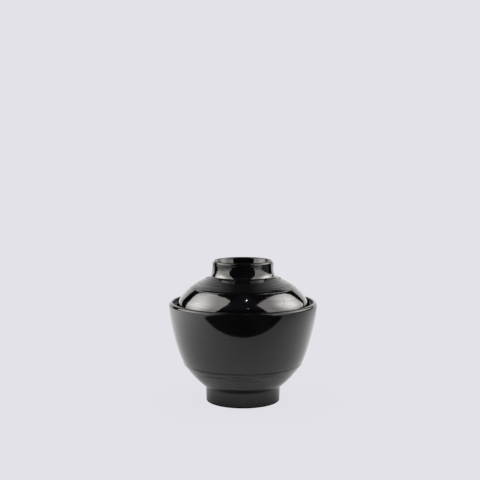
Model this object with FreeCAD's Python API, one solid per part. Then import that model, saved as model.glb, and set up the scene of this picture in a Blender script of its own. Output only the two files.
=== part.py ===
import FreeCAD, Part
import math
import os

# A lidded rice bowl: two turned pieces, each a solid of revolution about +Z.
# The origin is the centre of the foot's base. Lengths are millimetres and angles are degrees.
# Places on an outline are (radius, height). Headings are 0 away from the axis and 90 straight up.

UP = 90
INWARD = 180
OUTWARD = 0
DOWN = 270

# Overall sizes
rim_radius = 55.0
rim_height = 74.5
overall_height = 105.2

# Bowl, foot ring and the recess inside it
foot_radius = 27.4
foot_draft = 2.9
foot_flat = 2.2
foot_edge_round = 0.5
foot_recess_height = 7.5
foot_recess_draft = 3.0
foot_recess_fillet = 1.6
foot_fillet = 1.4
foot_fillet_top = 11.35

# Bowl, outside of the body
body_heading = 37.5                # the underside of the body, just above the foot's fillet
step = (44.85, 28.8)               # a fine upright band runs round the bowl here
step_round = 0.25
band_heading = 97.0
band_height = 0.12
above_step_heading = 65.4
belly = (48.6, 38.8)               # above here the wall is nearly straight
wall_top = (rim_radius - 0.06, 71.6)

# Bowl, lip and mouth
lip_outer_round = 2.0
lip_inner_round = 0.7
mouth_radius = 52.1
mouth_depth = 3.45                 # the mouth is straight this far down, then slopes in to the seat
mouth_round = 5.0
seat_slope = 30.0                  # from the vertical
seat_foot_height = 64.9            # the wall is thickest here, just under the seated lid
seat_foot_round = 6.0
wall_inside_heading = 263.5

# Bowl, inside
inner_belly = (44.4, 40.0)
inner_heel = (41.0, 31.6)
inner_hollow = (31.0, 19.2)
floor_round = 21.0

# Lid, underside
lid_ceiling = 93.2
lid_inner_crown = (33.0, 85.6)
lid_inner_haunch = (43.8, 76.6)
lid_inner_round = 8.0
lid_skirt_heading = -80.0

# Lid, edge
lid_edge_radius = 49.5
lid_edge_height = 64.7
lid_edge_inner_round = 0.9
lid_edge_outer_round = 1.1
seat_gap = 0.15                    # room between the lid's edge and the seat under it

# Lid, outside
lid_skirt_top = (48.7, 72.8)
lid_haunch = (46.1, 78.3)
crease = (39.7, 85.3)              # a fine raised edge runs round the lid here
crease_inner_round = 0.12
crease_heading = 95.0
crease_height = 0.12
crease_outer_round = 0.15
above_crease_heading = 142.5
ring_foot = (24.3, 93.9)           # the ring handle meets the dome here

# Lid, ring handle
ring_foot_round = 0.5
ring_foot_heading = 124.0
ring_waist = (22.9, 97.0)
ring_neck = (22.6, 103.4)
ring_outer_round = 1.6
ring_inner_round = 1.0
ring_lip_flat = 0.4
ring_recess_height = 97.3
ring_recess_draft = 12.0
ring_recess_fillet = 1.4


def shortest_turn(old, new):
    """The signed angle from one heading to another, never more than half a turn."""
    return (new - old + 180) % 360 - 180


class Outline:
    """Half of a section through the axis, drawn with a pen that has a place and a heading."""

    def __init__(self, height):
        """Starts on the axis at the height given."""
        self.start = FreeCAD.Vector(0, 0, height)
        self.place = self.start
        self.heading = OUTWARD
        self.edges = []

    def line_to(self, radius, height):
        """Draws a straight edge and takes its heading."""
        end = FreeCAD.Vector(radius, 0, height)
        run = end - self.place
        self.edges.append(Part.LineSegment(self.place, end).toShape())
        self.heading = math.degrees(math.atan2(run.z, run.x))
        self.place = end

    def ahead(self, length):
        """Draws a straight edge along the heading."""
        angle = math.radians(self.heading)
        self.line_to(self.place.x + length * math.cos(angle), self.place.z + length * math.sin(angle))

    def curve_to(self, radius, height):
        """Draws the one arc that leaves along the heading, with no corner, and ends at the place given."""
        end = FreeCAD.Vector(radius, 0, height)
        chord = end - self.place
        half_turn = shortest_turn(self.heading, math.degrees(math.atan2(chord.z, chord.x)))
        bulge = math.tan(math.radians(half_turn / 2)) / 2
        middle = self.place + chord / 2 + FreeCAD.Vector(chord.z, 0, -chord.x) * bulge
        self.edges.append(Part.Arc(self.place, middle, end).toShape())
        self.heading += 2 * half_turn
        self.place = end

    def bend(self, bend_radius, heading):
        """Draws an arc of the given radius that turns to a new heading."""
        turn = shortest_turn(self.heading, heading)
        chord = 2 * bend_radius * math.sin(math.radians(abs(turn) / 2))
        angle = math.radians(self.heading + turn / 2)
        self.curve_to(self.place.x + chord * math.cos(angle), self.place.z + chord * math.sin(angle))

    def ahead_and_bend(self, bend_radius, heading, height):
        """Goes straight ahead, then bends to a new heading, so that the bend ends at the height given."""
        signed_radius = math.copysign(bend_radius, shortest_turn(self.heading, heading))
        rise = signed_radius * (math.cos(math.radians(self.heading)) - math.cos(math.radians(heading)))
        self.ahead((height - rise - self.place.z) / math.sin(math.radians(self.heading)))
        self.bend(bend_radius, heading)

    def turned(self):
        """Runs in to the axis, closes the outline along it and turns it once round."""
        self.line_to(0, self.place.z)
        closing = Part.LineSegment(self.place, self.start).toShape()
        face = Part.Face(Part.Wire(self.edges + [closing]))
        solid = face.revolve(FreeCAD.Vector(0, 0, 0), FreeCAD.Vector(0, 0, 1), 360)
        if solid.Volume < 0:
            solid.reverse()
        return solid


def draw_foot(outline):
    """Out over the recess, down to the base, and up the outside of the foot to its fillet."""
    base_outer = foot_radius - foot_edge_round
    base_inner = base_outer - foot_flat
    wall_height = foot_recess_height - foot_recess_fillet - foot_edge_round
    recess_radius = base_inner - foot_edge_round - wall_height * math.tan(math.radians(foot_recess_draft))
    outline.line_to(recess_radius - foot_recess_fillet, foot_recess_height)
    outline.bend(foot_recess_fillet, foot_recess_draft - UP)
    outline.ahead_and_bend(foot_edge_round, OUTWARD, 0)
    outline.line_to(base_outer, 0)
    outline.bend(foot_edge_round, UP - foot_draft)
    outline.ahead_and_bend(foot_fillet, body_heading, foot_fillet_top)


def draw_body(outline):
    """Up the outside of the body, over the fine band, to the foot of the lip."""
    outline.curve_to(*step)
    outline.bend(step_round, band_heading)
    outline.ahead(band_height)
    outline.bend(step_round, above_step_heading)
    outline.curve_to(*belly)
    outline.curve_to(*wall_top)


def seat_radius(height):
    """The seat is a cone that clears the round edge of the resting lid by the seat gap."""
    slope = math.radians(seat_slope)
    round_centre_radius = lid_edge_radius - lid_edge_outer_round
    round_centre_height = lid_edge_height + lid_edge_outer_round
    reach = (lid_edge_outer_round + seat_gap) / math.cos(slope)
    return round_centre_radius + reach + (height - round_centre_height) * math.tan(slope)


def draw_lip_and_mouth(outline):
    """Over the lip, straight down the mouth and in to the seat that the lid rests on."""
    outline.ahead_and_bend(lip_outer_round, INWARD, rim_height)
    outline.line_to(mouth_radius + lip_inner_round, rim_height)
    outline.bend(lip_inner_round, DOWN)
    outline.line_to(mouth_radius, rim_height - mouth_depth)
    outline.bend(mouth_round, DOWN - seat_slope)
    outline.line_to(seat_radius(seat_foot_height), seat_foot_height)
    outline.bend(seat_foot_round, wall_inside_heading)


def draw_bowl_inside(outline):
    """Down the inside of the body to the flat of the floor."""
    outline.curve_to(*inner_belly)
    outline.curve_to(*inner_heel)
    outline.curve_to(*inner_hollow)
    outline.bend(floor_round, INWARD)


def make_bowl():
    outline = Outline(foot_recess_height)
    draw_foot(outline)
    draw_body(outline)
    draw_lip_and_mouth(outline)
    draw_bowl_inside(outline)
    return outline.turned()


def draw_lid_underside(outline):
    """From the middle of the ceiling down the skirt to the lid's edge."""
    outline.curve_to(*lid_inner_crown)
    outline.curve_to(*lid_inner_haunch)
    outline.bend(lid_inner_round, lid_skirt_heading)
    outline.ahead_and_bend(lid_edge_inner_round, OUTWARD, lid_edge_height)


def draw_lid_outside(outline):
    """Round the edge and up the skirt, over the haunch and the fine raised edge, to the ring."""
    outline.line_to(lid_edge_radius - lid_edge_outer_round, lid_edge_height)
    outline.bend(lid_edge_outer_round, UP)
    outline.curve_to(*lid_skirt_top)
    outline.curve_to(*lid_haunch)
    outline.curve_to(*crease)
    outline.bend(crease_inner_round, crease_heading)
    outline.ahead(crease_height)
    outline.bend(crease_outer_round, above_crease_heading)
    outline.curve_to(*ring_foot)


def draw_ring(outline):
    """Up the ring handle, over its lip and down to the flat of its recess."""
    outline.bend(ring_foot_round, ring_foot_heading)
    outline.curve_to(*ring_waist)
    outline.curve_to(*ring_neck)
    outline.ahead_and_bend(ring_outer_round, INWARD, overall_height)
    outline.ahead(ring_lip_flat)
    outline.bend(ring_inner_round, DOWN - ring_recess_draft)
    outline.ahead_and_bend(ring_recess_fillet, INWARD, ring_recess_height)


def make_lid():
    outline = Outline(lid_ceiling)
    draw_lid_underside(outline)
    draw_lid_outside(outline)
    draw_ring(outline)
    return outline.turned()


def main():
    os.makedirs("parts", exist_ok=True)
    makers = {"bowl": make_bowl, "lid": make_lid}
    for node, make in makers.items():
        make().exportStep(f"parts/{node}.step")


main()
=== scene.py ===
import math

import bpy
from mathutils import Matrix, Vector, noise


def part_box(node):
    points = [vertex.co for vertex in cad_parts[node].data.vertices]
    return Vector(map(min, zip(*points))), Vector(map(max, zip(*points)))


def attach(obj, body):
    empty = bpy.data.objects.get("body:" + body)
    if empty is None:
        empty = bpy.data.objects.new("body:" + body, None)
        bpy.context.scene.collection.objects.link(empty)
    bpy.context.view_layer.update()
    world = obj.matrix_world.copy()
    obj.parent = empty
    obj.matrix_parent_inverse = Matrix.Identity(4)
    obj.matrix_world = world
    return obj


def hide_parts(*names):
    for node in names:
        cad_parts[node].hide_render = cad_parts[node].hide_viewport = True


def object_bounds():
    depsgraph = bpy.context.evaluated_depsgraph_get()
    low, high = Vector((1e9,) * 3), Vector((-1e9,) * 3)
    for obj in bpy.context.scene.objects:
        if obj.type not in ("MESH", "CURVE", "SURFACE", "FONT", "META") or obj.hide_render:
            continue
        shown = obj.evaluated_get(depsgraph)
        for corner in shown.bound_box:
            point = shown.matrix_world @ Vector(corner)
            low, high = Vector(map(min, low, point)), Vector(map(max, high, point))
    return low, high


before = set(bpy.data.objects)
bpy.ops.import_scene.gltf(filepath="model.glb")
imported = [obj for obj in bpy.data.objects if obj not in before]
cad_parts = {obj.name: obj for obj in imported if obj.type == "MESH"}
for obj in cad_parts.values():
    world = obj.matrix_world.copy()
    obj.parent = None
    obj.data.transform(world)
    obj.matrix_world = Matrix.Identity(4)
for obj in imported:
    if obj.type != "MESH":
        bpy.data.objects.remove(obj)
cad_low, cad_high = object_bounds()

# The looks of a lidded rice bowl in black gloss lacquer. Each of its two pieces is turned in one,
# so each is a half section drawn with a pen and spun round the axis. Blender's units are metres.
# Sections are drawn in millimetres, as (radius, height). Headings are degrees: 0 away from the
# axis and 90 straight up.

MM = 0.001
UP = 90
INWARD = 180
OUTWARD = 0
DOWN = 270


# ---------------------------------------------------------------------------------------------
# Sizes
# ---------------------------------------------------------------------------------------------

# Overall sizes
RIM_RADIUS = cad_high.x / MM
RIM_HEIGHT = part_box("bowl")[1][2] / MM
OVERALL_HEIGHT = cad_high.z / MM
LID_EDGE_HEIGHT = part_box("lid")[0][2] / MM

# Bowl, foot ring and the recess inside it
FOOT_RADIUS = 27.4
FOOT_DRAFT = 2.9
FOOT_EDGE_ROUND = 0.5
FOOT_RECESS_RADIUS = 22.32         # of the flat over the recess, up to its fillet
FOOT_RECESS_HEIGHT = 7.5
FOOT_RECESS_DRAFT = 3.0
FOOT_RECESS_FILLET = 1.6
FOOT_FILLET = 1.4
FOOT_FILLET_TOP = 11.35

# Bowl, outside of the body
BODY_HEADING = 37.5                # the underside of the body, just above the foot's fillet
STEP = (44.85, 28.8)               # a fine upright band runs round the bowl here
STEP_ROUND = 0.25
BAND_HEADING = 97.0
BAND_HEIGHT = 0.12
ABOVE_STEP_HEADING = 65.4
BELLY = (48.6, 38.8)               # above here the wall is nearly straight
WALL_TOP = (RIM_RADIUS - 0.06, 71.6)

# Bowl, lip and mouth
LIP_OUTER_ROUND = 2.0
LIP_INNER_ROUND = 0.7
MOUTH_RADIUS = 52.1
MOUTH_DEPTH = 3.45
MOUTH_ROUND = 5.0
SEAT_SLOPE = 30.0                  # from the vertical
SEAT_GAP = 0.15
SEAT_FOOT_HEIGHT = 64.9
SEAT_FOOT_ROUND = 6.0
WALL_INSIDE_HEADING = 263.5

# Bowl, inside
INNER_BELLY = (44.4, 40.0)
INNER_HEEL = (41.0, 31.6)
INNER_HOLLOW = (31.0, 19.2)
FLOOR_ROUND = 21.0

# Lid, underside and edge
LID_CEILING = 93.2
LID_INNER_CROWN = (33.0, 85.6)
LID_INNER_HAUNCH = (43.8, 76.6)
LID_INNER_ROUND = 8.0
LID_SKIRT_HEADING = -80.0
LID_EDGE_RADIUS = 49.5
LID_EDGE_INNER_ROUND = 0.9
LID_EDGE_OUTER_ROUND = 1.1

# Lid, outside
LID_SKIRT_TOP = (48.7, 72.8)
LID_HAUNCH = (46.1, 78.3)
CREASE = (39.7, 85.3)              # a fine raised edge runs round the lid here
CREASE_INNER_ROUND = 0.12
CREASE_HEADING = 95.0
CREASE_HEIGHT = 0.12
CREASE_OUTER_ROUND = 0.15
ABOVE_CREASE_HEADING = 142.5
RING_FOOT = (24.3, 93.9)           # the ring handle meets the dome here

# Lid, ring handle
RING_FOOT_ROUND = 0.5
RING_FOOT_HEADING = 124.0
RING_WAIST = (22.9, 97.0)
RING_NECK = (22.6, 103.4)
RING_OUTER_ROUND = 1.6
RING_INNER_ROUND = 1.0
RING_LIP_FLAT = 0.4
RING_RECESS_HEIGHT = 97.3
RING_RECESS_DRAFT = 12.0
RING_RECESS_FILLET = 1.4

# Turning lines, as how deep they are and how far apart
UNDERSIDE_LINES = (0.020, 1.7)
INSIDE_LINES = (0.003, 2.6)
HAUNCH_LINES = (0.003, 1.2)
CROWN_LINES = (0.018, 1.0)

SPIN_STEPS = 256


# ---------------------------------------------------------------------------------------------
# Sections
# ---------------------------------------------------------------------------------------------

def shortest_turn(old, new):
    """The signed angle from one heading to another, never more than half a turn."""
    return (new - old + 180) % 360 - 180


class Pen:
    """Draws half a section as closely spaced points, and can leave fine turning lines as it goes."""

    SPACING = 1.4                  # at most this far from point to point on a smooth stretch
    RELIEF_POINTS = 5.0            # at least so many points to a turning line
    TURN_PER_POINT = 7.0           # at most this much turn from point to point
    NEARLY_STRAIGHT = 0.01
    COARSE_ROW = (0.3, 0.7)        # the rows of the noise that the coarse and the fine lines follow
    FINE_ROW = (5.1, 2.2)
    FINE_LINES = 2.7               # so many fine lines to a coarse one
    FINE_SHARE = 0.5

    def __init__(self, height):
        """Starts on the axis at the height given."""
        self.points = [(0.0, height)]
        self.place = (0.0, height)
        self.heading = OUTWARD
        self.travel = 0.0
        self.relief_depth = 0.0
        self.relief_pitch = 1.0

    def turning_lines(self, depth=0.0, pitch=1.0):
        """From here on the surface carries lines this deep and about this far apart, or none."""
        self.relief_depth = depth
        self.relief_pitch = pitch

    def relief(self):
        """How far the surface stands out here."""
        lines = self.travel / self.relief_pitch
        coarse = noise.noise(Vector((lines, *self.COARSE_ROW)))
        fine = noise.noise(Vector((lines * self.FINE_LINES, *self.FINE_ROW)))
        return self.relief_depth * (coarse + self.FINE_SHARE * fine)

    def leave_point(self, radius, height, heading):
        """Adds a point, and moves the pen there."""
        self.travel += math.dist(self.place, (radius, height))
        self.place = (radius, height)
        angle = math.radians(heading)
        out = self.relief() if self.relief_depth else 0.0
        self.points.append((max(radius + out * math.sin(angle), 0.0), height - out * math.cos(angle)))

    def curve_to(self, radius, height):
        """Draws the one arc that leaves along the heading, with no corner, and ends at the place given."""
        start = self.place
        chord = math.dist(start, (radius, height))
        chord_heading = math.degrees(math.atan2(height - start[1], radius - start[0]))
        half_turn = shortest_turn(self.heading, chord_heading)
        spacing = self.relief_pitch / self.RELIEF_POINTS if self.relief_depth else self.SPACING
        count = math.ceil(max(chord / spacing, abs(2 * half_turn) / self.TURN_PER_POINT, 1))
        first = self.heading
        for index in range(1, count + 1):
            turned = half_turn * index / count
            if abs(half_turn) > self.NEARLY_STRAIGHT:
                reach = chord * math.sin(math.radians(turned)) / math.sin(math.radians(half_turn))
            else:
                reach = chord * index / count
            angle = math.radians(first + turned)
            self.leave_point(
                start[0] + reach * math.cos(angle),
                start[1] + reach * math.sin(angle),
                first + 2 * turned,
            )
        self.heading = first + 2 * half_turn

    def line_to(self, radius, height):
        """Draws a straight stretch and takes its heading."""
        rise, run = height - self.place[1], radius - self.place[0]
        self.heading = math.degrees(math.atan2(rise, run))
        self.curve_to(radius, height)

    def ahead(self, length):
        """Draws a straight stretch along the heading."""
        angle = math.radians(self.heading)
        self.curve_to(self.place[0] + length * math.cos(angle), self.place[1] + length * math.sin(angle))

    def bend(self, bend_radius, heading):
        """Draws an arc of the given radius that turns to a new heading."""
        turn = shortest_turn(self.heading, heading)
        chord = 2 * bend_radius * math.sin(math.radians(abs(turn) / 2))
        angle = math.radians(self.heading + turn / 2)
        self.curve_to(self.place[0] + chord * math.cos(angle), self.place[1] + chord * math.sin(angle))

    def ahead_and_bend(self, bend_radius, heading, height):
        """Goes straight ahead, then bends to a new heading, so that the bend ends at the height given."""
        signed_radius = math.copysign(bend_radius, shortest_turn(self.heading, heading))
        rise = signed_radius * (math.cos(math.radians(self.heading)) - math.cos(math.radians(heading)))
        self.ahead((height - rise - self.place[1]) / math.sin(math.radians(self.heading)))
        self.bend(bend_radius, heading)

    def finished(self):
        """Runs in to the axis and gives all the points."""
        self.line_to(0, self.place[1])
        return self.points


def draw_foot(pen):
    """Out over the recess, down to the base, and up the outside of the foot to its fillet."""
    pen.line_to(FOOT_RECESS_RADIUS, FOOT_RECESS_HEIGHT)
    pen.bend(FOOT_RECESS_FILLET, FOOT_RECESS_DRAFT - UP)
    pen.ahead_and_bend(FOOT_EDGE_ROUND, OUTWARD, 0)
    pen.line_to(FOOT_RADIUS - FOOT_EDGE_ROUND, 0)
    pen.bend(FOOT_EDGE_ROUND, UP - FOOT_DRAFT)
    pen.ahead_and_bend(FOOT_FILLET, BODY_HEADING, FOOT_FILLET_TOP)


def draw_body(pen):
    """Up the lined underside of the body, over the fine band, and up the smooth wall to the lip."""
    pen.turning_lines(*UNDERSIDE_LINES)
    pen.curve_to(*STEP)
    pen.turning_lines()
    pen.bend(STEP_ROUND, BAND_HEADING)
    pen.ahead(BAND_HEIGHT)
    pen.bend(STEP_ROUND, ABOVE_STEP_HEADING)
    pen.curve_to(*BELLY)
    pen.curve_to(*WALL_TOP)


def seat_radius(height):
    """The seat is a cone that clears the round edge of the resting lid by the seat gap."""
    slope = math.radians(SEAT_SLOPE)
    reach = (LID_EDGE_OUTER_ROUND + SEAT_GAP) / math.cos(slope)
    above_round = height - LID_EDGE_HEIGHT - LID_EDGE_OUTER_ROUND
    return LID_EDGE_RADIUS - LID_EDGE_OUTER_ROUND + reach + above_round * math.tan(slope)


def draw_lip_and_mouth(pen):
    """Over the lip, straight down the mouth and in to the seat that the lid rests on."""
    pen.ahead_and_bend(LIP_OUTER_ROUND, INWARD, RIM_HEIGHT)
    pen.line_to(MOUTH_RADIUS + LIP_INNER_ROUND, RIM_HEIGHT)
    pen.bend(LIP_INNER_ROUND, DOWN)
    pen.line_to(MOUTH_RADIUS, RIM_HEIGHT - MOUTH_DEPTH)
    pen.bend(MOUTH_ROUND, DOWN - SEAT_SLOPE)
    pen.line_to(seat_radius(SEAT_FOOT_HEIGHT), SEAT_FOOT_HEIGHT)
    pen.bend(SEAT_FOOT_ROUND, WALL_INSIDE_HEADING)


def draw_bowl_inside(pen):
    """Down the inside of the body to the flat of the floor."""
    pen.turning_lines(*INSIDE_LINES)
    pen.curve_to(*INNER_BELLY)
    pen.curve_to(*INNER_HEEL)
    pen.curve_to(*INNER_HOLLOW)
    pen.turning_lines()
    pen.bend(FLOOR_ROUND, INWARD)


def bowl_section():
    """Out over the foot's recess, up the outside, over the lip and down the inside to the floor."""
    pen = Pen(FOOT_RECESS_HEIGHT)
    draw_foot(pen)
    draw_body(pen)
    draw_lip_and_mouth(pen)
    draw_bowl_inside(pen)
    return pen.finished()


def draw_lid_underside(pen):
    """From the middle of the ceiling down the skirt to the lid's edge."""
    pen.curve_to(*LID_INNER_CROWN)
    pen.curve_to(*LID_INNER_HAUNCH)
    pen.bend(LID_INNER_ROUND, LID_SKIRT_HEADING)
    pen.ahead_and_bend(LID_EDGE_INNER_ROUND, OUTWARD, LID_EDGE_HEIGHT)


def draw_lid_outside(pen):
    """Round the edge and up the skirt, over the haunch and the fine raised edge, to the ring."""
    pen.line_to(LID_EDGE_RADIUS - LID_EDGE_OUTER_ROUND, LID_EDGE_HEIGHT)
    pen.bend(LID_EDGE_OUTER_ROUND, UP)
    pen.curve_to(*LID_SKIRT_TOP)
    pen.curve_to(*LID_HAUNCH)
    pen.turning_lines(*HAUNCH_LINES)
    pen.curve_to(*CREASE)
    pen.turning_lines()
    pen.bend(CREASE_INNER_ROUND, CREASE_HEADING)
    pen.ahead(CREASE_HEIGHT)
    pen.bend(CREASE_OUTER_ROUND, ABOVE_CREASE_HEADING)
    pen.turning_lines(*CROWN_LINES)
    pen.curve_to(*RING_FOOT)
    pen.turning_lines()


def draw_ring(pen):
    """Up the ring handle, over its lip and down to the flat of its recess."""
    pen.bend(RING_FOOT_ROUND, RING_FOOT_HEADING)
    pen.curve_to(*RING_WAIST)
    pen.curve_to(*RING_NECK)
    pen.ahead_and_bend(RING_OUTER_ROUND, INWARD, OVERALL_HEIGHT)
    pen.ahead(RING_LIP_FLAT)
    pen.bend(RING_INNER_ROUND, DOWN - RING_RECESS_DRAFT)
    pen.ahead_and_bend(RING_RECESS_FILLET, INWARD, RING_RECESS_HEIGHT)


def lid_section():
    """Along the underside, round the edge, up the dome and the ring, and down into its recess."""
    pen = Pen(LID_CEILING)
    draw_lid_underside(pen)
    draw_lid_outside(pen)
    draw_ring(pen)
    return pen.finished()


def add_to_scene(name, places, faces):
    """Makes a mesh object of these places and faces."""
    mesh = bpy.data.meshes.new(name)
    mesh.from_pydata(places, [], faces)
    piece = bpy.data.objects.new(name, mesh)
    bpy.context.scene.collection.objects.link(piece)
    return piece


def spun_places(section):
    """The section's two ends, which are poles, and then all its other points, carried round the axis."""
    turns = [2 * math.pi * step / SPIN_STEPS for step in range(SPIN_STEPS)]
    circle = [(math.cos(turn) * MM, math.sin(turn) * MM) for turn in turns]
    places = [(0, 0, section[0][1] * MM), (0, 0, section[-1][1] * MM)]
    for radius, height in section[1:-1]:
        places += [(radius * x, radius * y, height * MM) for x, y in circle]
    return places


def spun_faces(ring_count):
    """A fan of faces round each pole, and a band of them from each ring to the next."""
    first = 2
    last = first + (ring_count - 1) * SPIN_STEPS
    steps = [(step, (step + 1) % SPIN_STEPS) for step in range(SPIN_STEPS)]
    faces = []
    for step, following in steps:
        faces.append((0, first + following, first + step))
        faces.append((1, last + step, last + following))
    for low in range(first, last, SPIN_STEPS):
        high = low + SPIN_STEPS
        faces += [(low + step, low + following, high + following, high + step) for step, following in steps]
    return faces


def turned_piece(name, section):
    """Spins a section once round the axis into one closed, smooth mesh, with one point at each pole."""
    piece = add_to_scene(name, spun_places(section), spun_faces(len(section) - 2))
    piece.data.shade_smooth()
    return piece


# ---------------------------------------------------------------------------------------------
# Nodes
# ---------------------------------------------------------------------------------------------

class Nodes:
    """Adds nodes to a node tree and joins them up, one call per node."""

    def __init__(self, tree):
        self.tree = tree
        self.tree.nodes.clear()

    def add(self, kind, inputs=None, **settings):
        """Adds a node. An input is a value, or another node's output that is joined to it."""
        node = self.tree.nodes.new(kind)
        for name, value in settings.items():
            setattr(node, name, value)
        for name, value in (inputs or {}).items():
            if isinstance(value, bpy.types.NodeSocket):
                self.tree.links.new(value, node.inputs[name])
            else:
                node.inputs[name].default_value = value
        return node

    def math(self, operation, first, second=0.0):
        """The output of one sum."""
        return self.add("ShaderNodeMath", {0: first, 1: second}, operation=operation).outputs[0]

    def spread(self, value, old, new, smooth=False):
        """The value, stretched from the old range on to the new one and held inside it."""
        ranges = {"From Min": old[0], "From Max": old[1], "To Min": new[0], "To Max": new[1]}
        kind = "SMOOTHSTEP" if smooth else "LINEAR"
        node = self.add("ShaderNodeMapRange", {"Value": value, **ranges}, interpolation_type=kind)
        return node.outputs["Result"]

    def blend(self, share, first, second):
        """The output of a mix of two colours, which are inputs 6 and 7 of that node."""
        return self.add("ShaderNodeMix", {0: share, 6: first, 7: second}, data_type="RGBA").outputs[2]

    def place(self):
        """The place that is being shaded, in the piece's own frame."""
        return self.add("ShaderNodeTexCoord").outputs["Object"]


def new_nodes(name):
    """A new material and the helper that fills it."""
    material = bpy.data.materials.new(name)
    material.use_nodes = True
    return material, Nodes(material.node_tree)


# ---------------------------------------------------------------------------------------------
# Lacquer
# ---------------------------------------------------------------------------------------------

DEEP_BLACK = (0.0026, 0.0026, 0.0031, 1.0)
SOFT_BLACK = (0.0050, 0.0045, 0.0046, 1.0)
DUST_COLOUR = (0.16, 0.15, 0.14, 1.0)
LACQUER_IOR = 1.53
FULL_SHINE = 0.5

# Noise drawn out round the axis, as its scale and how fast it changes along a turning line
STREAKS = (2800.0, 0.014)
SCORES = (1200.0, 0.06)

SCORE_CONTRAST = (0.32, 0.68)      # the part of the noise's range that is spread over the depth

# The parts of the streaks' and the mottling's range that count, and the roughness that they give
ROUGH_STREAKS = (0.30, 0.75)
STREAK_ROUGHNESS = (0.035, 0.085)
ROUGH_PATCHES = (0.40, 0.75)
PATCH_ROUGHNESS = (0.0, 0.04)

MOTTLING_SCALE = 70.0
SOFT_PATCHES = (0.35, 0.70)        # the part of the mottling's range over which black turns soft
PEEL_SCALE = 420.0
PEEL_HEIGHT = 0.02
DUST_SCALE = 210.0
DUST_EDGE = (0.045, 0.075)         # a speck fades out between these distances from its middle
DUST_CHANCE = 0.1
DUST_COVER = 0.5

# The stretches over which the gloss changes, from the heights that LACQUER gives
SCORES_BEGIN = (-1.0, 1.0)
SCORES_END = (-0.3, 0.1)
DULLING_BEGINS = (-2.2, -0.6)
WEAR_BEGINS = (0.0, 1.2)

# Scores change a piece's gloss, by the score depth between two heights and by the scuff depth
# elsewhere. It is dull just under the upper of these heights, where a cloth can't reach, and worn
# from a third height up, at the edge that is touched most.
LACQUER = {
    "bowl": {
        "streak_height": 0.004,
        "scored_from": 12.5,
        "scored_to": 29.5,
        "score_depth": 0.30,
        "scuff_depth": 0.03,
        "dulling": 0.20,
        "worn_from": 72.4,
        "wear": 0.32,
    },
    "lid": {
        "streak_height": 0.008,
        "scored_from": 85.5,
        "scored_to": 93.8,
        "score_depth": 0.34,
        "scuff_depth": 0.10,
        "dulling": 0.36,
        "worn_from": 103.2,
        "wear": 0.20,
    },
}


def noise_round_axis(nodes, scale, stretch):
    """Noise that is drawn out round the axis, so that it runs the way the piece was turned."""
    x, y, z = nodes.add("ShaderNodeSeparateXYZ", {0: nodes.place()}).outputs
    squares = nodes.math("ADD", nodes.math("MULTIPLY", x, x), nodes.math("MULTIPLY", y, y))
    across = nodes.add(
        "ShaderNodeCombineXYZ", {0: nodes.math("SQRT", squares), 1: z, 2: nodes.math("MULTIPLY", x, stretch)}
    ).outputs[0]
    shape = {"W": nodes.math("MULTIPLY", y, stretch), "Scale": scale, "Detail": 2.0, "Roughness": 0.6}
    return nodes.add("ShaderNodeTexNoise", {"Vector": across, **shape}, noise_dimensions="4D").outputs[0]


def dust_specks(nodes):
    """Round specks, in a tenth of the cells of an uneven pattern."""
    cells = nodes.add(
        "ShaderNodeTexVoronoi", {"Vector": nodes.place(), "Scale": DUST_SCALE, "Randomness": 1.0}
    ).outputs
    size = nodes.spread(cells["Distance"], DUST_EDGE, (1.0, 0.0))
    draw = nodes.add("ShaderNodeSeparateColor", {0: cells["Color"]}).outputs[0]
    return nodes.math("MULTIPLY", size, nodes.math("GREATER_THAN", draw, 1 - DUST_CHANCE))


def lacquer_colour(nodes, mottling):
    """Black, a little softer in patches, with dust on it."""
    body = nodes.blend(nodes.spread(mottling, SOFT_PATCHES, (0.0, 1.0)), DEEP_BLACK, SOFT_BLACK)
    return nodes.blend(nodes.math("MULTIPLY", dust_specks(nodes), DUST_COVER), body, DUST_COLOUR)


def change_near(nodes, height, level, stretch, before, after):
    """Changes from one value to another over a stretch of height, which is measured from a level."""
    low, high = [(level + offset) * MM for offset in stretch]
    return nodes.spread(height, (low, high), (before, after))


def lacquer_shine(nodes, scored_from, scored_to, score_depth, scuff_depth, dulling, worn_from, wear):
    """How strongly the lacquer reflects: less where it is dull or worn, and unevenly where it is scored."""
    height = nodes.add("ShaderNodeSeparateXYZ", {0: nodes.place()}).outputs["Z"]
    entering = change_near(nodes, height, scored_from, SCORES_BEGIN, 0.0, 1.0)
    leaving = change_near(nodes, height, scored_to, SCORES_END, 1.0, 0.0)
    scored = nodes.math("MULTIPLY", entering, leaving)
    depth = nodes.spread(scored, (0.0, 1.0), (scuff_depth, score_depth))
    unevenness = nodes.spread(noise_round_axis(nodes, *SCORES), SCORE_CONTRAST, (-1.0, 1.0))
    gloss = nodes.math("MULTIPLY", unevenness, depth)
    tucked_in = change_near(nodes, height, scored_to, DULLING_BEGINS, 0.0, -dulling)
    worn = change_near(nodes, height, worn_from, WEAR_BEGINS, 0.0, -wear)
    loss = nodes.math("ADD", nodes.math("MULTIPLY", tucked_in, leaving), worn)
    return nodes.math("ADD", gloss, nodes.math("ADD", loss, FULL_SHINE))


def lacquer_relief(nodes, streaks, streak_height):
    """The slight orange peel of a brushed coat, with fine streaks on it."""
    peel = nodes.add(
        "ShaderNodeTexNoise", {"Vector": nodes.place(), "Scale": PEEL_SCALE, "Detail": 1.0}
    ).outputs[0]
    ripple = nodes.add(
        "ShaderNodeBump", {"Height": peel, "Strength": 0.25, "Distance": PEEL_HEIGHT * MM}
    ).outputs[0]
    return nodes.add(
        "ShaderNodeBump",
        {"Height": streaks, "Strength": 0.5, "Distance": streak_height * MM, "Normal": ripple},
    ).outputs[0]


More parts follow.
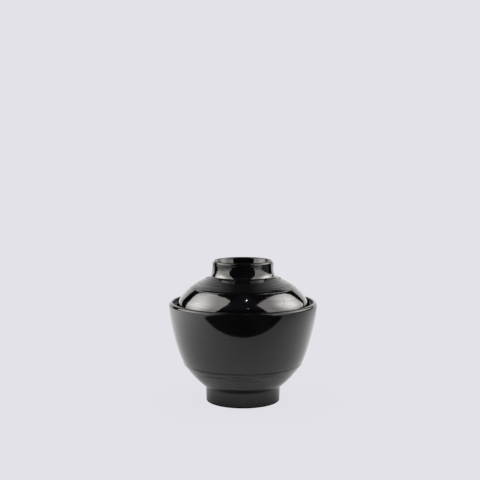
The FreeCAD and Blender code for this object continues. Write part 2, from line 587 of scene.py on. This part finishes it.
def black_lacquer(name, streak_height, **scores_and_wear):
    """Black gloss lacquer over turned wood, with fine streaks that run round the piece."""
    material, nodes = new_nodes(name)
    streaks = noise_round_axis(nodes, *STREAKS)
    mottling = nodes.add(
        "ShaderNodeTexNoise",
        {"Vector": nodes.place(), "Scale": MOTTLING_SCALE, "Detail": 4.0, "Roughness": 0.55},
    ).outputs[0]
    roughness = nodes.math(
        "ADD",
        nodes.spread(streaks, ROUGH_STREAKS, STREAK_ROUGHNESS),
        nodes.spread(mottling, ROUGH_PATCHES, PATCH_ROUGHNESS),
    )
    shader = nodes.add(
        "ShaderNodeBsdfPrincipled",
        {
            "Base Color": lacquer_colour(nodes, mottling),
            "Roughness": roughness,
            "Specular IOR Level": lacquer_shine(nodes, **scores_and_wear),
            "Normal": lacquer_relief(nodes, streaks, streak_height),
            "IOR": LACQUER_IOR,
        },
    )
    nodes.add("ShaderNodeOutputMaterial", {"Surface": shader.outputs[0]})
    return material


def make_pieces():
    """The bowl and the lid, each on its own body in place of its plain CAD solid."""
    sections = {"bowl": bowl_section, "lid": lid_section}
    for node, section in sections.items():
        piece = turned_piece(f"{node}_turned", section())
        piece.data.materials.append(black_lacquer(f"{node}_lacquer", **LACQUER[node]))
        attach(piece, node)
        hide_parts(node)


# ---------------------------------------------------------------------------------------------
# Stage: a light table, two softboxes and a dark room
# ---------------------------------------------------------------------------------------------

# Colours of light
PALE = (0.766, 0.760, 0.806)
WHITE = (1.0, 0.955, 0.93)
GREY = (0.78, 0.765, 0.78)
DUSK = (0.62, 0.60, 1.0)
BLACK = (0.0, 0.0, 0.0)

# The cards lie in directions from here, as (azimuth, elevation) in degrees, at distances in metres.
ROOM_CENTRE = Vector((0, 0, 0.09))
FLAG_DISTANCE = 0.45
LAMP_DISTANCE = 2.0
LAMP_SIDES = 8
OVERLAY_DISTANCE = 2.4
CARD_DISTANCE = 2.5
APRON_DISTANCE = 2.6
FAR_APRON_DISTANCE = 2.7
CEILING_DISTANCE = 2.8

# The wall behind: its light changes with how far a direction goes sideways for each metre that it rises
WALL_LEAN = (0.08, 0.85)
WALL_STRENGTH = (0.05, 1.9)
LEAST_RISE = 0.05                  # directions that rise less count as rising this much

# The table as the gloss sees it, a glow with painted light: its light changes from left to right over a
# stretch in metres, and there are painted pools of more or less light on it, as the middle, the reach and
# the strength; the last is a painted shadow of the bowl
TABLE_STRETCH = (0.12, 0.30)
TABLE_STRENGTH = (0.80, 0.55)
TABLE_POOLS = (
    ((-0.38, 0.06, 0.0), 0.48, 2.1),
    ((0.17, 0.11, 0.0), 0.30, 1.15),
    ((0.0, 0.0, 0.0), 0.075, -1.1),
)

# The floor, and the share of it that takes shadow: as the bowl sees it, and as the camera does
FLOOR_HALF_WIDTH = 12.0
FLOOR_SHADE = (0.4, 0.05)

# The camera, in metres, degrees, and millimetres for its lens and sensor
CAMERA_PLACE = (-0.0022, -0.700, 0.1863)
CAMERA_DIP = 5.387
CAMERA_LENS = 71.05
CAMERA_SENSOR = 36.0


def direction(azimuth, elevation):
    """A unit vector: azimuth 0 is towards the camera and 90 to its right."""
    turn, rise = math.radians(azimuth), math.radians(elevation)
    return Vector((math.sin(turn) * math.cos(rise), -math.cos(turn) * math.cos(rise), math.sin(rise)))


def finish_glow(nodes, colour, strength):
    """Ends a material that only gives off light."""
    light = nodes.add("ShaderNodeEmission", {"Color": (*colour, 1.0), "Strength": strength})
    nodes.add("ShaderNodeOutputMaterial", {"Surface": light.outputs[0]})


def even_glow(name, colour, strength):
    """Gives off the same light all over."""
    material, nodes = new_nodes(name)
    finish_glow(nodes, colour, strength)
    return material


def outlook(nodes):
    """The direction from the middle of the room to the place that is being shaded."""
    ends = {0: nodes.place(), 1: ROOM_CENTRE}
    out = nodes.add("ShaderNodeVectorMath", ends, operation="SUBTRACT").outputs[0]
    return nodes.add("ShaderNodeVectorMath", {0: out}, operation="NORMALIZE").outputs[0]


def softbox_glow(name, hot_spot, spread, low, high):
    """Brightest round the direction of the lamp inside, and falling off over the spread given in degrees."""
    material, nodes = new_nodes(name)
    nearness = nodes.add(
        "ShaderNodeVectorMath", {0: outlook(nodes), 1: direction(*hot_spot)}, operation="DOT_PRODUCT"
    ).outputs["Value"]
    share = nodes.spread(nearness, (math.cos(math.radians(spread)), 1.0), (0.0, 1.0))
    strength = nodes.spread(nodes.math("MULTIPLY", share, share), (0.0, 1.0), (low, high))
    finish_glow(nodes, WHITE, strength)
    return material


def wall_glow(name):
    """A pale wall with a dark strip up its middle, which widens as it runs on over the ceiling."""
    material, nodes = new_nodes(name)
    across, _, rise = nodes.add("ShaderNodeSeparateXYZ", {0: outlook(nodes)}).outputs
    lean = nodes.math("DIVIDE", nodes.math("ABSOLUTE", across), nodes.math("MAXIMUM", rise, LEAST_RISE))
    finish_glow(nodes, GREY, nodes.spread(lean, WALL_LEAN, WALL_STRENGTH, smooth=True))
    return material


def table_glow(name):
    """The white table as a glow, darker at its right, with painted pools of light and a painted shadow of
    the bowl.
    """
    material, nodes = new_nodes(name)
    place = nodes.place()
    side = nodes.add("ShaderNodeSeparateXYZ", {0: place}).outputs["X"]
    total = nodes.spread(side, TABLE_STRETCH, TABLE_STRENGTH)
    for middle, reach, strength in TABLE_POOLS:
        gap = nodes.add("ShaderNodeVectorMath", {0: place, 1: middle}, operation="DISTANCE").outputs["Value"]
        total = nodes.math("ADD", total, nodes.spread(gap, (0.0, reach), (strength, 0.0), smooth=True))
    finish_glow(nodes, GREY, total)
    return material


def reflected(name, places, faces, material):
    """A card that only reflections see."""
    piece = add_to_scene(name, places, faces)
    piece.data.materials.append(material)
    piece.visible_camera = False
    piece.visible_diffuse = False
    piece.visible_shadow = False


def distant_card(name, middle, corners, material, distance):
    """A card far off. Its middle and its corners lie in the directions given."""
    places = [ROOM_CENTRE + distance * direction(*each) for each in [middle] + corners]
    count = len(corners)
    faces = [(0, 1 + index, 1 + (index + 1) % count) for index in range(count)]
    reflected(name, [tuple(place) for place in places], faces, material)


def plain_card(name, middle, corners, colour, strength, distance):
    """A card far off that gives the same light all over."""
    distant_card(name, middle, corners, even_glow(name, colour, strength), distance)


def lamp(name, azimuth, elevation, size, strength):
    """A small bare lamp, nearly round, of the size given in degrees."""
    width = size / math.cos(math.radians(elevation))
    turns = [2 * math.pi * side / LAMP_SIDES for side in range(LAMP_SIDES)]
    corners = [(azimuth + width * math.cos(turn), elevation + size * math.sin(turn)) for turn in turns]
    plain_card(name, (azimuth, elevation), corners, WHITE, strength, LAMP_DISTANCE)


def make_world():
    """Pale for the camera and for soft light, and dark in reflections."""
    world = bpy.data.worlds.new("studio")
    bpy.context.scene.world = world
    world.use_nodes = True
    nodes = Nodes(world.node_tree)
    rays = nodes.add("ShaderNodeLightPath")
    pale = nodes.add("ShaderNodeBackground", {"Color": (*PALE, 1.0), "Strength": 1.0}).outputs[0]
    dark = nodes.add("ShaderNodeBackground", {"Color": (*BLACK, 1.0), "Strength": 1.0}).outputs[0]
    choice = nodes.add(
        "ShaderNodeMixShader", {0: rays.outputs["Is Glossy Ray"], 1: pale, 2: dark}
    ).outputs[0]
    nodes.add("ShaderNodeOutputWorld", {"Surface": choice})


def opal_glass():
    """Lit from below, so that only a trace of shadow falls on it, and clear from underneath."""
    material, nodes = new_nodes("opal_floor")
    rays = nodes.add("ShaderNodeLightPath")
    lit = nodes.add("ShaderNodeEmission", {"Color": (*PALE, 1.0), "Strength": 1.0}).outputs[0]
    shaded = nodes.add("ShaderNodeBsdfDiffuse", {"Color": (1.0, 1.0, 1.0, 1.0)}).outputs[0]
    share = nodes.spread(rays.outputs["Is Camera Ray"], (0.0, 1.0), FLOOR_SHADE)
    top = nodes.add("ShaderNodeMixShader", {0: share, 1: lit, 2: shaded}).outputs[0]
    below = nodes.add("ShaderNodeNewGeometry").outputs["Backfacing"]
    clear = nodes.add("ShaderNodeBsdfTransparent").outputs[0]
    surface = nodes.add("ShaderNodeMixShader", {0: below, 1: top, 2: clear}).outputs[0]
    nodes.add("ShaderNodeOutputMaterial", {"Surface": surface})
    return material


def make_floor():
    """The pale floor that the camera sees. The gloss sees the table instead."""
    half = FLOOR_HALF_WIDTH
    places = [(-half, -half, 0), (half, -half, 0), (half, half, 0), (-half, half, 0)]
    floor = add_to_scene("floor", places, [(0, 1, 2, 3)])
    floor.data.materials.append(opal_glass())
    floor.visible_glossy = False


def make_reflected_table():
    """The table top as the gloss sees it, with a dark bay cut out of it in front of the bowl."""
    left, right, flare = -0.68, 0.36, 0.2
    back, front = 2.0, -0.45
    bay_left, bay_right, bay_back = -0.221, 0.229, -0.146
    quads = [
        [(left, back), (left, bay_back), (right, bay_back), (right, back)],
        [(right, bay_back), (bay_right, bay_back), (bay_right, front), (right + flare, front)],
        [(left, bay_back), (left, front), (bay_left, front), (bay_left, bay_back)],
    ]
    places = [(x, y, MM) for quad in quads for x, y in quad]
    faces = [(first, first + 1, first + 2, first + 3) for first in range(0, len(places), 4)]
    reflected("table", places, faces, table_glow("table"))


def make_softboxes():
    """One large softbox at each side, with an arched top, and a slanting strap across the right one."""
    left = [
        (-51, -3), (-52, 18), (-46, 34), (-46, 45), (-47, 60), (-48, 69), (-60, 69), (-75, 68),
        (-85, 65.5), (-95, 62.5), (-105, 59), (-113, 54), (-120, 47), (-126, 41), (-131, 35),
        (-129, 28), (-124, 20), (-120, 10), (-112, 0), (-85, -4),
    ]
    right = [
        (45, -3), (46, 18), (41.5, 34), (41, 45), (40, 62), (50, 63.5), (70, 63.5), (85, 61.5),
        (95, 59), (105, 55.5), (112, 51), (118, 46.5), (126, 40), (132, 31), (134, 22), (134, 7),
        (127, 5), (119, 7.5), (103, 4), (85, 0.5), (75, -2), (65, -3),
    ]
    strap = [(88, 36.5), (88, 37.5), (120, 44.5), (120, 43.5)]
    left_glow = softbox_glow("softbox_left", hot_spot=(-95, 32), spread=31, low=4.2, high=12.4)
    right_glow = softbox_glow("softbox_right", hot_spot=(101, 32), spread=32, low=3.4, high=11.8)
    distant_card("softbox_left", (-85, 30), left, left_glow, CARD_DISTANCE)
    distant_card("softbox_right", (85, 30), right, right_glow, CARD_DISTANCE)
    plain_card("strap", (104, 41.6), strap, WHITE, strength=6.0, distance=OVERLAY_DISTANCE)


def make_aprons():
    """A dim apron hangs below each softbox, and the right one has a darker end."""
    left = [(-44, -13), (-44, -2), (-110, 1), (-112, -13)]
    right = [(41.5, -13), (42, -2), (72, -2), (76, -13)]
    far = [(70, -13), (70, 1), (112, 3), (112, -13)]
    plain_card("apron_left", (-78, -5), left, WHITE, strength=1.5, distance=APRON_DISTANCE)
    plain_card("apron_right", (58, -5), right, WHITE, strength=1.6, distance=APRON_DISTANCE)
    plain_card("apron_far", (90, -5), far, WHITE, strength=0.22, distance=FAR_APRON_DISTANCE)


def make_room():
    """What else the gloss reflects: the wall behind, the dim ceiling in front, a dark flag and two lamps."""
    back = [
        (134, -10), (134, 2), (144, 12), (144, 30), (138, 48), (130, 62), (131, 72), (150, 80), (180, 80),
        (210, 80), (229, 72), (230, 62), (222, 44), (216, 30), (216, 12), (226, 2), (226, -10),
    ]
    seam = [(176.4, 55), (177.4, 55), (176.8, 76), (175.8, 76)]
    flag = [(-116, -14), (-116, 0), (-133, 0), (-133, -14)]
    front = [(-43, 34), (43, 34), (43, 82), (-43, 82)]
    distant_card("back_wall", (180, 30), back, wall_glow("back_wall"), CARD_DISTANCE)
    plain_card("seam", (176.6, 66), seam, PALE, strength=0.5, distance=OVERLAY_DISTANCE)
    plain_card("flag", (-124, -7), flag, BLACK, strength=0.0, distance=FLAG_DISTANCE)
    plain_card("far_ceiling", (0, 58), front, DUSK, strength=0.065, distance=CEILING_DISTANCE)
    lamp("lamp_high", azimuth=15.8, elevation=73.6, size=0.8, strength=42.0)
    lamp("lamp_low", azimuth=11.0, elevation=48.0, size=0.8, strength=11.0)


def make_camera():
    """A long lens, somewhat above the lid and looking slightly down."""
    camera = bpy.data.objects.new("camera", bpy.data.cameras.new("camera"))
    camera.data.lens = CAMERA_LENS
    camera.data.sensor_width = CAMERA_SENSOR
    camera.location = CAMERA_PLACE
    camera.rotation_euler = (math.radians(UP - CAMERA_DIP), 0, 0)
    bpy.context.scene.collection.objects.link(camera)
    bpy.context.scene.camera = camera


make_pieces()
make_floor()
make_reflected_table()
make_softboxes()
make_aprons()
make_room()
make_world()
make_camera()
bpy.context.scene.view_settings.view_transform = "Standard"
